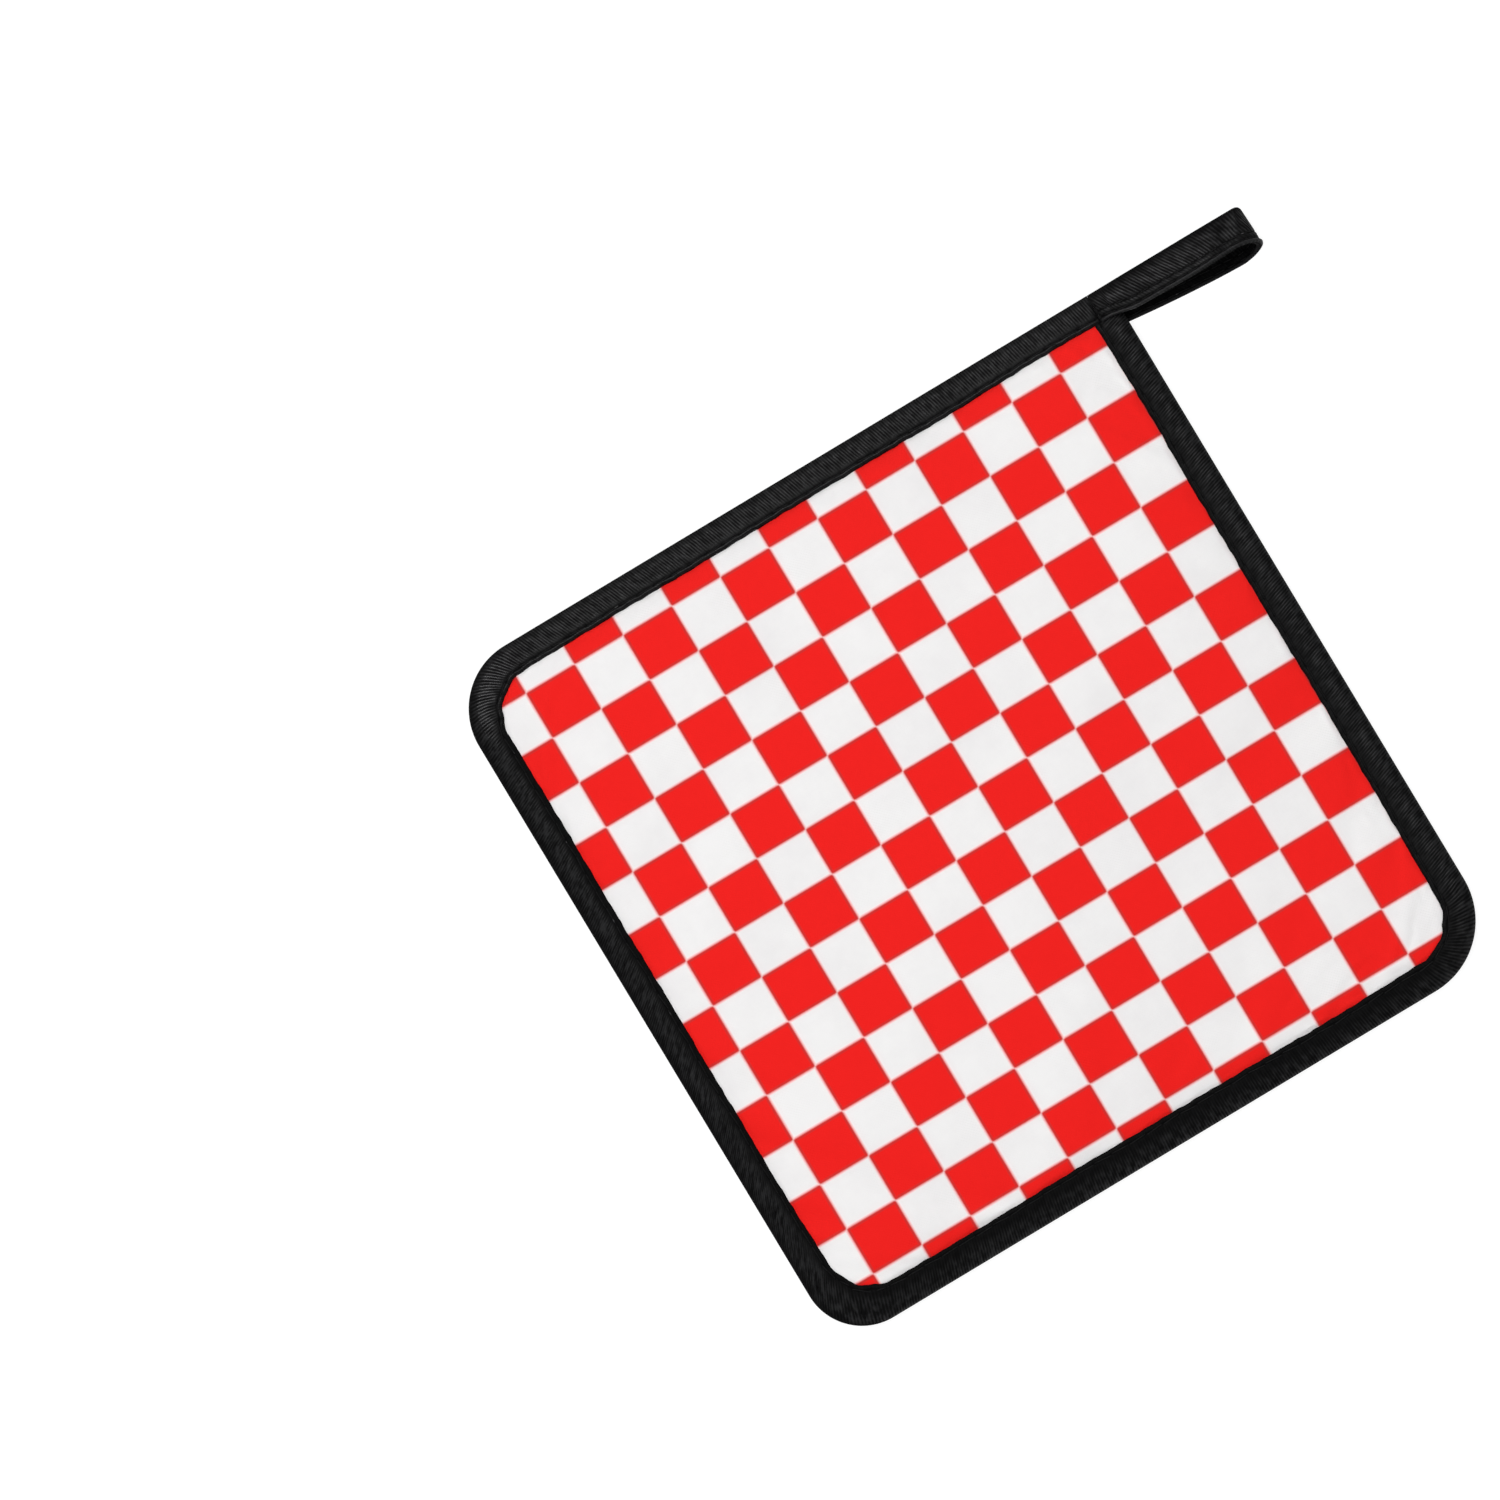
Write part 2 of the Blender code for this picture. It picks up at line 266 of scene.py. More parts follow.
def add_node(tree, kind, settings, sockets, out=0):
    """Adds a node, sets it up, feeds its sockets and gives one of its outputs."""
    made = tree.nodes.new(kind)
    for name, value in settings.items():
        setattr(made, name, value)
    by_identifier = {socket.identifier: socket for socket in made.inputs}
    for key, value in sockets.items():
        feed(tree, made.inputs[key] if isinstance(key, int) else by_identifier[key], value)
    return made.outputs[out]


class Wire:
    """A value in a material that takes part in plain arithmetic."""

    def __init__(self, finish, socket):
        self.finish = finish
        self.socket = socket

    def maths(self, operation, *others):
        return self.finish.node("ShaderNodeMath", {"operation": operation},
                                dict(enumerate((self, *others))))

    def __add__(self, other):
        return self.maths("ADD", other)

    __radd__ = __add__

    def __sub__(self, other):
        return self.maths("SUBTRACT", other)

    def __rsub__(self, other):
        return self * -1 + other

    def __mul__(self, other):
        return self.maths("MULTIPLY", other)

    __rmul__ = __mul__

    def __truediv__(self, other):
        return self.maths("DIVIDE", other)

    def wave(self):
        """The sine of this value, which counts whole turns."""
        return (self * (2 * pi)).maths("SINE")

    def zigzag(self):
        """Rises and falls evenly by half a step either side of nothing, once in two steps."""
        return (self * pi).maths("SINE").maths("ARCSINE") / pi

    def between(self, low, high):
        return self.maths("MAXIMUM", low).maths("MINIMUM", high)

    def soft(self, low, high):
        """Goes smoothly from 0 to 1 between two values."""
        return self.finish.node("ShaderNodeMapRange", {"interpolation_type": "SMOOTHSTEP"},
                                {"Value": self, "From Min": low, "From Max": high})


class Finish:
    """A material in the making."""

    def __init__(self, name, roughness, specular):
        self.material = bpy.data.materials.new(name)
        self.material.use_nodes = True
        self.tree = self.material.node_tree
        self.shader = self.tree.nodes["Principled BSDF"]
        self.shader.inputs["Roughness"].default_value = roughness
        self.shader.inputs["Specular IOR Level"].default_value = specular

    def set(self, socket, value):
        """Feeds one of the shader's own sockets."""
        feed(self.tree, self.shader.inputs[socket], value.socket if isinstance(value, Wire) else value)

    def node(self, kind, settings, sockets, out=0):
        values = {key: value.socket if isinstance(value, Wire) else value
                  for key, value in sockets.items()}
        return Wire(self, add_node(self.tree, kind, settings, values, out))

    def place(self):
        """Where on the object a point lies."""
        return self.node("ShaderNodeTexCoord", {}, {}, out=3)

    def kept(self, name, out):
        """What a mesh keeps at each point: a vector is output 1, and a number output 2."""
        return self.node("ShaderNodeAttribute", {"attribute_name": name}, {}, out)

    def noise(self, at, scale, detail, roughness=0.6, dimensions="3D"):
        return self.node("ShaderNodeTexNoise", {"noise_dimensions": dimensions},
                         {"Vector": at, "Scale": scale, "Detail": detail, "Roughness": roughness})

    def split(self, vector):
        node = self.node("ShaderNodeSeparateXYZ", {}, {"Vector": vector}).socket.node
        return [Wire(self, output) for output in node.outputs]

    def mix(self, share, first, second):
        """A colour between two colours."""
        return self.node("ShaderNodeMix", {"data_type": "RGBA"},
                         {"Factor_Float": share, "A_Color": first, "B_Color": second}, out=2)

    def bump(self, height, distance):
        normal = self.node("ShaderNodeBump", {}, {"Height": height, "Distance": distance})
        self.set("Normal", normal)

    def colour(self, value):
        self.set("Base Color", value)


CHECK_WIDE = 13.131 * MM       # the print's cells, a little wider than they are high
CHECK_HIGH = 12.064 * MM
CHECK_X = 4.330 * MM           # where two of its lines cross
CHECK_Y = 5.386 * MM
CHECK_TURN = radians(-0.103)
PRINT_EDGE = 0.32 * MM         # how sharp the ink's edge is
WHITE_LOSS = 0.10 * MM         # the ink spreads a little into the white
CORNER_GROWTH = 0.12 * MM      # but the cells' corners stay sharp
CORNER_REACH = 0.6 * MM
DARK_RIM = (-0.83 * MM, -0.41 * MM)  # how far into the white the red darkens: below 0 is in the red
DARK_SHARE = 0.37
PINK_RIM = (0.35 * MM, 0.60 * MM)    # and where the pink next to it fades
PINK_HAZE = (0.2 * MM, 2.4 * MM)     # a trace of it reaches further
HAZE_SHARE = 0.09
THREAD_PITCH = 0.42 * MM
PRINTED_WHITE = (0.866, 0.856, 0.856, 1)
PRINTED_RED = (0.845, 0.0130, 0.0110, 1)
RED_OUTLINE = (0.250, 0.0590, 0.0550, 1)
PINK_BLEED = (0.997, 0.621, 0.621, 1)
DULL_WHITE = (0.765, 0.745, 0.755, 1)


def woven(x, y):
    """The surface of a plain weave: threads that pass over and under each other."""
    return (x / (2 * THREAD_PITCH)).wave() * (y / (2 * THREAD_PITCH)).wave()


checked = Finish("printed_cloth", roughness=0.85, specular=0.05)
place = checked.place()
place_x, place_y = checked.split(place)[:2]
u = (place_x * cos(CHECK_TURN) + place_y * sin(CHECK_TURN) - CHECK_X) / CHECK_WIDE
v = (place_y * cos(CHECK_TURN) - place_x * sin(CHECK_TURN) - CHECK_Y) / CHECK_HIGH
to_side = u.zigzag() * CHECK_WIDE
to_end = v.zigzag() * CHECK_HIGH
sign = (to_side * to_end).maths("SIGN")
near = to_side.maths("ABSOLUTE").maths("MINIMUM", to_end.maths("ABSOLUTE"))
far = to_side.maths("ABSOLUTE").maths("MAXIMUM", to_end.maths("ABSOLUTE"))
into_white = sign * near
growth = (1 - far.soft(0, CORNER_REACH)) * CORNER_GROWTH - WHITE_LOSS
white = (into_white + growth).soft(-PRINT_EDGE, PRINT_EDGE)
outline = into_white.soft(*DARK_RIM) * DARK_SHARE
bleed = (1 - into_white.soft(*PINK_RIM)) + (1 - into_white.soft(*PINK_HAZE)) * HAZE_SHARE
mottle = checked.noise(place, 260, 3)
cloudy = checked.noise(place, 45, 2, roughness=0.5)
red_cell = checked.mix(outline, PRINTED_RED, RED_OUTLINE)
white_cell = checked.mix(bleed, PRINTED_WHITE, PINK_BLEED)
grey = ((mottle - 0.5) * 0.45 + (cloudy - 0.5) * 1.1 + 0.14).between(0, 1)
white_cell = checked.mix(grey, white_cell, DULL_WHITE)
checked.colour(checked.mix(white, red_cell, white_cell))
checked.bump(woven(place_x, place_y) * 0.5 + mottle * 0.8, 0.03 * MM)

BACKING_LIGHT = (0.82, 0.81, 0.80, 1)
BACKING_DARK = (0.75, 0.74, 0.73, 1)
plain = Finish("plain_backing", roughness=0.85, specular=0.18)
place = plain.place()
place_x, place_y = plain.split(place)[:2]
mottle = plain.noise(place, 220, 3)
plain.colour(plain.mix(mottle, BACKING_LIGHT, BACKING_DARK))
plain.bump(woven(place_x, place_y) + mottle, 0.04 * MM)


def finished(piece, name):
    """Works a piece's modifiers into a plain mesh."""
    ready = piece.evaluated_get(bpy.context.evaluated_depsgraph_get())
    mesh = bpy.data.meshes.new_from_object(ready)
    piece.modifiers.clear()
    piece.data = mesh
    mesh.name = name


pad_mesh.materials.append(checked.material)
pad_mesh.materials.append(plain.material)
smooth = pad_cloth.modifiers.new("smooth", "SUBSURF")
smooth.levels = smooth.render_levels = 1
finished(pad_cloth, "pad_cloth")
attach(pad_cloth, "root")
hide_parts("pad")

# The binding ---------------------------------------------------------------------------------
# A ribbed black polyester tape, folded over the pad's edge and sewn through all layers near its
# lip. Each stitch pulls the tape in, so the lip is slightly scalloped, and the tape gathers
# round the corners.


class Look(NamedTuple):
    """How a stretch of tape looks; its shares run from 0 to about 1. Its light, its band along the fold
    and its lip's share paint light and shade into the tape's colour; its gloss sets only its roughness.
    """
    slant: float               # how far a rib goes along the tape for each step across it
    shaded_dull_fold: float           # how wide the band along its fold is, dull and in painted shade
    light: float
    gloss: float
    lip_share: float           # how much of that painted light and gloss its lip has; below 1 it is painted shade
    lip_reach: float           # and how far in from the lip that shows


class Side(NamedTuple):
    """A side of the square, clockwise from the loop's corner, and the corner at its end."""
    out: tuple
    along: tuple
    widths: tuple              # the tape's width in mm, at even steps along the side
    outer_radius: float
    lip_radius: float
    look: Look


# Each side's look paints in how the light falls on it: a painted shadow along the fold of the side
# facing -X, painted shade near the lip of the sides facing -Y and -X, and painted light near the lip of
# the side facing +Y.
SIDES = (
    Side((1, 0), (0, -1), (7.35, 7.2, 7.15, 7.45, 7.4, 7.45, 7.45, 7.3, 7.45, 7.45, 7.65, 7.9),
         19.0 * MM, 11.4 * MM, Look(0.32, 0.3 * MM, 1.1, 0.58, 0.60, 4.8 * MM)),
    Side((0, -1), (-1, 0), (7.45, 7.2, 7.05, 7.25, 7.35, 7.5, 7.55, 7.7, 7.6, 7.5, 7.55, 7.7),
         14.2 * MM, 11.5 * MM, Look(0.22, 0.3 * MM, 1.5, 0.56, 0.12, 6.2 * MM)),
    Side((-1, 0), (0, 1), (7.75, 7.4, 7.25, 7.4, 7.3, 7.4, 7.4, 7.25, 7.3, 7.4, 7.35, 7.35),
         17.0 * MM, 11.4 * MM, Look(0.60, 3.6 * MM, 2.2, 0.50, 0.10, 3.6 * MM)),
    Side((0, 1), (1, 0), (7.35, 7.25, 7.15, 7.3, 7.2, 7.1, 7.15, 7.2, 7.35, 7.1, 6.95, 7.1),
         2.6 * MM, 0.8 * MM, Look(0.20, 0.8 * MM, 1.0, 0.55, 1.55, 3.2 * MM)),
)
SLOT_HALF = BASTED_HALF + 0.32 * MM            # half the room between the tape's two walls
WALL = tape_high.z - EDGE_LEVEL - SLOT_HALF    # thickness of the folded tape, front or back

SLOT_DEPTH = 0.195                 # the slot ends at this share of the width, from the fold
FOLD_ROUND = 2.1 * MM              # how far the fold's roundness reaches in
LIP_ROUND = 0.85 * MM              # and the lip's
ROOF = 0.55 * MM                   # how much lower the tape lies at its fold
WAVE = 0.05 * MM                   # the tape's own unevenness
WAVE_LENGTH = 17 * MM
BINDING_SHAPE = 0.4                # sets how the binding's waves fall, and the loop's
LOOP_SHAPE = 1.9
BACK_SEED = 3.1                    # the back's waves differ from the front's
GROOVE_REACH = 0.32 * MM           # of a seam, which is shallower between its stitches
GROOVE_BETWEEN = 0.62
DIMPLE_REACH = 1.0 * MM            # of the dimple at each stitch
DIMPLE = 0.25
WELT = 0.32 * MM                   # two rows of stitches leave a ridge along the lip
WELT_IN = 0.50 * MM
WELT_REACH = 0.30 * MM
GATHER = 0.13 * MM                 # the small folds round a corner
GATHER_PITCH = 2.7 * MM
GATHER_IN = 1.4 * MM               # they are highest so far in from the lip
GATHER_REACH = 1.9 * MM
STATION = 0.6 * MM                 # between two sections of tape
BINDING_STITCH = 4.6 * MM
SEAM_IN = 1.28 * MM                # from the lip to the binding's seam
SEAM_ENDS = 1.2 * MM               # what the seam leaves free at the tape's ends
STITCH_SCALLOP = 0.10 * MM         # how far a stitch draws the lip in
LIP_WAVE = 0.07 * MM
LIP_WAVE_LENGTH = 11 * MM
FACET = 0.24 * MM                  # a corner's lip is slightly angular
FACET_LENGTH = 7.3 * MM
BINDING_START = LIP_TOP + 0.3 * MM  # the ends tuck in beside and under the loop
BINDING_END = 84.54 * MM

# Where a section has its points: so far in from the fold, then so far from the lip.
FROM_FOLD = np.array([0.0, 0.04, 0.14, 0.30, 0.52, 0.82, 1.2, 1.7, 2.3, 3.0]) * MM
FROM_LIP = np.array([3.6, 3.0, 2.55, 2.2, 1.95, 1.75, 1.55, 1.35, 1.15, 0.95, 0.72, 0.5, 0.32, 0.18,
                     0.08, 0.0]) * MM


def smoothly(rows, places):
    """A smooth curve through rows of values, read at places counted in rows."""
    rows = np.asarray(rows, float)
    padded = np.concatenate([2 * rows[:1] - rows[1:2], rows, 2 * rows[-1:] - rows[-2:-1]])
    first = np.clip(places.astype(int), 0, len(rows) - 2)
    t = places - first
    t = t.reshape(-1, *[1] * (rows.ndim - 1))
    a, b, c, d = (padded[first + k] for k in range(4))
    return 0.5 * (2 * b + (c - a) * t + (2 * a - 5 * b + 4 * c - d) * t ** 2
                  + (3 * b - a - 3 * c + d) * t ** 3)


class Tape(NamedTuple):
    """A folded tape at each of its stations."""
    fold: np.ndarray           # points on its outer fold
    lip: np.ndarray            # points on its lip
    front: np.ndarray          # the way its front faces
    slot: np.ndarray           # half the room between its walls
    wall: np.ndarray
    fold_round: np.ndarray
    lip_round: float
    look: np.ndarray           # the values of its Look
    run: np.ndarray            # distance along it
    gather: np.ndarray         # 0 where it lies straight, 1 where a corner gathers it


def along_edge():
    """The binding's stations, clockwise from below the loop's root to beside it."""
    fold, lip, gather, look = [], [], [], []
    for count, side in enumerate(SIDES):
        out, along = np.array(side.out), np.array(side.along)
        before, after = SIDES[count - 1], SIDES[(count + 1) % len(SIDES)]
        start = -(HALF - before.outer_radius)
        lip_start = -(HALF - before.widths[-1] * MM - before.lip_radius)
        end = HALF - side.outer_radius
        lip_end = HALF - after.widths[0] * MM - side.lip_radius
        last = side is SIDES[-1]
        if count == 0:
            start = lip_start = -BINDING_START
        if last:
            end = lip_end = BINDING_END
        where = np.linspace(0, 1, round((end - start) / STATION) + 1)[:, None]
        width = smoothly(side.widths, where[:, 0] * (len(side.widths) - 1))[:, None] * MM
        fold.append(out * HALF + along * (start + (end - start) * where))
        lip.append(out * (HALF - width) + along * (lip_start + (lip_end - lip_start) * where))
        gather.append(np.zeros(len(where)))
        look.append(np.tile(side.look, (len(where), 1)))
        if last:
            break
        turns = round(pi / 2 * (side.lip_radius + side.outer_radius) / 2 / STATION)
        turn = (np.arange(1, turns) / turns * pi / 2)[:, None]
        way = out * np.cos(turn) + np.array(after.out) * np.sin(turn)
        inset = side.widths[-1] * MM
        after_inset = after.widths[0] * MM
        for points, radius, near, far in ((fold, side.outer_radius, 0, 0),
                                          (lip, side.lip_radius, inset, after_inset)):
            middle = out * (HALF - near - radius) + np.array(after.out) * (HALF - far - radius)
            points.append(middle + radius * way)
        gather.append(np.sin(2 * turn[:, 0]) ** 0.7)
        look.append(side.look + np.subtract(after.look, side.look) * turn / (pi / 2))
    fold, lip, gather, look = (np.concatenate(rows) for rows in (fold, lip, gather, look))
    inward = (lip - fold) / np.linalg.norm(lip - fold, axis=1, keepdims=True)
    seam = lip - inward * SEAM_IN
    run = np.concatenate([[0], np.cumsum(np.linalg.norm(np.diff(seam, axis=0), axis=1))])
    return fold, lip, gather, look, inward, run


def ripple(run, across, scale, seed):
    """Gentle uneven waves, between about -1 and 1."""
    total = 0
    for k, (long_wave, slant) in enumerate(((1.0, 0.6), (0.61, -0.9), (0.37, 0.4))):
        total = total + np.sin(2 * pi * (run / (scale * long_wave) + across / scale * slant)
                               + seed * (k + 1.7)) / (k + 1.5)
    return total


class Seam(NamedTuple):
    """A row of stitches along a tape."""
    from_lip: float
    stitch: float
    depth: float
    start: float               # along the tape
    end: float

    def count(self):
        return round((self.end - self.start) / self.stitch)

    def pull(self, run):
        """1 where the thread goes through the tape, down to 0 halfway along a stitch."""
        pitch = (self.end - self.start) / self.count()
        phase = (run - self.start) / pitch
        reach = (run > self.start - pitch / 2) & (run < self.end + pitch / 2)
        return np.where(reach, (0.5 + 0.5 * np.cos(2 * pi * phase)) ** 3, 0)


def tape_rise(tape, across, seams, seed):
    """How far the tape's front or back stands off its mid-plane, at places across it."""
    width = np.linalg.norm(tape.lip - tape.fold, axis=1)[:, None]
    run, slot, wall = tape.run[:, None], tape.slot[:, None], tape.wall[:, None]
    from_lip = width - across
    gather = tape.gather[:, None]
    fold = np.sqrt(1 - np.clip(1 - across / tape.fold_round[:, None], 0, 1) ** 2)
    lip = 1 - np.clip(1 - from_lip / tape.lip_round, 0, 1) ** 2
    slope = ROOF * slot / SLOT_HALF * np.clip(1 - across / (0.75 * width), 0, 1) ** 1.3
    height = (slot + wall - slope) * fold - 0.85 * wall * (1 - lip)
    body = np.sin(pi * np.clip(across / width, 0, 1))
    height = height + WAVE * ripple(run, across, WAVE_LENGTH, seed) * body
    for seam in seams:
        near = np.exp(-((from_lip - seam.from_lip) / GROOVE_REACH) ** 2)
        wide = np.exp(-((from_lip - seam.from_lip) / DIMPLE_REACH) ** 2)
        pull = seam.pull(run)
        height = height - seam.depth * near * (GROOVE_BETWEEN + (1 - GROOVE_BETWEEN) * pull)
        height = height - DIMPLE * seam.depth * wide * pull
    if len(seams) > 1:
        height = height + WELT * np.exp(-((from_lip - WELT_IN) / WELT_REACH) ** 2)
    folds = np.sin(2 * pi * run / GATHER_PITCH + 1.5 * np.sin(run / (5 * MM)))
    inner = np.exp(-((from_lip - GATHER_IN) / GATHER_REACH) ** 2)
    return height + GATHER * gather * folds * inner


def tape_points(tape, across, height):
    """Places on a tape, so far across it and off its mid-plane, at every station."""
    inward = tape.lip - tape.fold
    inward = inward / np.linalg.norm(inward, axis=1, keepdims=True)
    return (tape.fold[:, None, :] + inward[:, None, :] * across[:, :, None]
            + tape.front[:, None, :] * height[:, :, None])


def eased(values):
    """0 up to 0 and 1 from 1 on, and smooth between them."""
    values = np.clip(values, 0, 1)
    return values ** 2 * (3 - 2 * values)


def keep(mesh, name, kind, values):
    """Keeps a number or a vector at each of a mesh's points, for its material."""
    field = {"FLOAT": "value", "FLOAT_VECTOR": "vector"}[kind]
    kept = mesh.attributes.new(name, kind, "POINT")
    kept.data.foreach_set(field, values.astype(np.float32).ravel())


def tape_piece(name, tape, seams, seed, material):
    """The folded tape as one closed mesh that keeps, at each point, how far along the tape it is,
    how far in from the fold, less than nothing on the back, and how far from the lip. It also keeps
    how far along the fold the point's rib starts, and how the tape shines there: the painted light
    and shade for its colour, and its gloss."""
    width = np.linalg.norm(tape.lip - tape.fold, axis=1)[:, None]
    across = np.concatenate([np.broadcast_to(FROM_FOLD, (len(width), len(FROM_FOLD))),
                             width - FROM_LIP], axis=1)
    front = tape_rise(tape, across, seams, seed)
    back = -tape_rise(tape, across, seams, seed + BACK_SEED)
    slot = tape.slot[:, None]
    slot_end = width * SLOT_DEPTH
    inside = [width - 0.05 * MM, (width + slot_end) / 2, slot_end]
    slot_across = np.concatenate(inside, axis=1)
    slot_front = np.repeat(slot, len(inside), axis=1)
    ring_across = np.concatenate([slot_across[:, ::-1], across[:, ::-1], across[:, 1:], slot_across],
                                 axis=1)
    ring_height = np.concatenate([slot_front, front[:, ::-1], back[:, 1:], -slot_front], axis=1)
    points = tape_points(tape, ring_across, ring_height)
    stations, size = ring_across.shape
    index = np.arange(stations * size).reshape(stations, size)
    after = np.roll(index, -1, axis=1)
    cells = np.stack([index[:-1], index[1:], after[1:], after[:-1]], -1).reshape(-1, 4)
    faces = cells.tolist() + [index[0].tolist(), index[-1][::-1].tolist()]
    mesh = bpy.data.meshes.new(name)
    mesh.from_pydata(points.reshape(-1, 3).tolist(), [], faces)
    spot = np.stack([np.broadcast_to(tape.run[:, None], ring_across.shape),
                     ring_across * np.sign(ring_height), width - ring_across], -1)
    keep(mesh, "tape_place", "FLOAT_VECTOR", spot)
    keep(mesh, "rib_start", "FLOAT", spot[:, :, 0] - spot[:, :, 1] * tape.look[:, :1])
    shaded_dull_fold, light, gloss, lip_share, lip_reach = tape.look[:, 1:, None].transpose(1, 0, 2)
    # Painted light and shade: the shine, scaled by the side's light, lightens the tape's colour, and
    # falls to painted shade in the band along the fold and, by the lip's share, near the lip.
    shine = eased(ring_across / shaded_dull_fold)
    shine = shine * (lip_share + (1 - lip_share) * eased(1.25 * spot[:, :, 2] / lip_reach - 0.5))
    shine = np.stack([shine * light, np.broadcast_to(gloss, shine.shape), 0 * shine], -1)
    keep(mesh, "tape_shine", "FLOAT_VECTOR", shine)
    mesh.shade_smooth()
    mesh.materials.append(material)
    return placed(name, mesh)


class Weave(NamedTuple):
    """A tape's ribs, its back's share of the shine, which paints shade on the loop's inner faces, and
    how much painted highlight the ridge along its lip has.
    """
    rib_pitch: float
    back_shine: float
    welt_highlight: float


TAPE_BLACK = (0.0005, 0.0005, 0.0006, 1)
TAPE_GREY = (0.0200, 0.0200, 0.0208, 1)
DULLEST = 0.95                 # the roughness where the tape doesn't shine
RIB_RELIEF = 0.030 * MM
STREAK_LENGTH = 2.2 * MM       # a rib is lighter or darker over about so long a stretch
BINDING_WEAVE = Weave(0.68 * MM, 1.0, 0.0)


def ribbed_tape(name, seams, weave):
    """The tape's black, with its ribs, its dull fold and seams, and a hole at each stitch. Its ribs'
    crests are painted lighter as a painted sheen, and its fold, its seams' grooves and its stitch holes
    are darkened by painted shade.
    """
    finish = Finish(name, roughness=0.9, specular=0.055)
    along, across, from_lip = finish.split(finish.kept("tape_place", 1))
    place = finish.place()
    fuzz = finish.noise(place, 1100, 2)
    patchy = finish.noise(place, 170, 3)
    ribs = finish.kept("rib_start", 2) / weave.rib_pitch
    each_rib = finish.node("ShaderNodeCombineXYZ", {}, {"X": ribs * 0.55, "Y": across / STREAK_LENGTH})
    streak = finish.noise(each_rib, 1, 1, roughness=0.5, dimensions="2D")
    relief = 0.35 + 0.65 * from_lip.soft(1.4 * MM, 4.2 * MM)
    rib = (ribs + patchy * 0.6).wave() * relief
    # The ribs' crests are painted lighter in the colour below: a painted sheen.
    crest = (0.5 + 0.5 * rib).maths("POWER", 1.5)
    light = crest * (0.75 + patchy * 0.5) + (fuzz - 0.5) * 0.9
    light = light + (patchy - 0.5) * 0.45 + (streak - 0.5) * relief * 2.6
    shine, gloss = finish.split(finish.kept("tape_shine", 1))[:2]
    # On the loop the back's smaller share of the shine is painted shade inside the loop.
    shine = shine * (weave.back_shine + (1 - weave.back_shine) * across.soft(-0.1 * MM, 0.1 * MM))
    # The ridge along the lip is painted lighter, a painted highlight, and the shine then paints light
    # and shade into the colour.
    off_welt = (from_lip - WELT_IN).maths("ABSOLUTE")
    welt = (1 - off_welt.soft(0.15 * MM, 0.55 * MM)) * weave.welt_highlight
    light = (light + welt) * (0.10 + 0.90 * shine)
    shine = shine * (1 + welt * 0.5)
    for seam in seams:
        pitch = (seam.end - seam.start) / seam.count()
        off_line = from_lip - seam.from_lip
        # Painted shade darkens the tape along each seam's groove and round each stitch hole; the groove
        # also dulls its gloss.
        groove = 0.06 + 0.94 * off_line.maths("ABSOLUTE").soft(0.10 * MM, 0.38 * MM)
        shine = shine * groove
        off_hole = ((along - seam.start) / pitch).zigzag() * pitch
        hole = (off_line * off_line + off_hole * off_hole).maths("SQRT")
        light = light * groove * hole.soft(0.15 * MM, 0.5 * MM)
    finish.colour(finish.mix((light * 0.5).between(0, 1), TAPE_BLACK, TAPE_GREY))
    shine = shine * (gloss + (streak - 0.5) * 0.50) * (0.25 + 1.1 * crest).between(0, 1)
    finish.set("Roughness", DULLEST - shine)
    finish.bump(rib + streak * relief * 0.8 + fuzz * 0.5, RIB_RELIEF)
    return finish.material


fold_xy, lip_xy, gather, look, inward, run = along_edge()
binding_seam = Seam(SEAM_IN, BINDING_STITCH, 0.22 * MM, SEAM_ENDS, run[-1] - SEAM_ENDS)
scallop = (STITCH_SCALLOP * (binding_seam.pull(run) - 0.4)
           + LIP_WAVE * ripple(run, 0, LIP_WAVE_LENGTH, 0.7))
facets = FACET * gather * np.sin(2 * pi * run / FACET_LENGTH + 0.8)
lip_xy = lip_xy + inward * (scallop + facets)[:, None]


def level(points, height):
    return np.column_stack([points, np.full(len(points), height)])


# Its walls are pressed thinner at both ends, where the loop's tape lies over or beside them.
tucked = (1 - 0.55 * np.exp(-(run / (1.1 * MM)) ** 2)
          - 0.50 * np.exp(-((run - run[-1]) / (0.6 * MM)) ** 2))
binding_tape = Tape(level(fold_xy, EDGE_LEVEL), level(lip_xy, EDGE_LEVEL),
                    np.tile([0.0, 0.0, 1.0], (len(run), 1)), np.full(len(run), SLOT_HALF),
                    np.full(len(run), WALL) * tucked, np.full(len(run), FOLD_ROUND), LIP_ROUND,
                    look, run, gather)
binding = tape_piece("ribbed_binding", binding_tape, (binding_seam,), BINDING_SHAPE,
                     ribbed_tape("binding_tape", (binding_seam,), BINDING_WEAVE))
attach(binding, "root")
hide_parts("binding")

# The binding's stitches ----------------------------------------------------------------------
# Black polyester thread, a long lockstitch that shows in front and behind, sunk in the groove that
# it pulls into the tape.
THREAD = 0.13 * MM             # its radius
STITCH_SINK = 1.6 * THREAD     # how deep a stitch's ends go into the tape
STITCH_SHARE = 0.93            # a stitch's length, as a share of the step from stitch to stitch
STITCH_SWING = radians(5)      # how much its direction wanders
THREAD_BLACK = (0.0015, 0.0015, 0.0015, 1)
THREAD_GLINT = (0.060, 0.060, 0.062, 1)


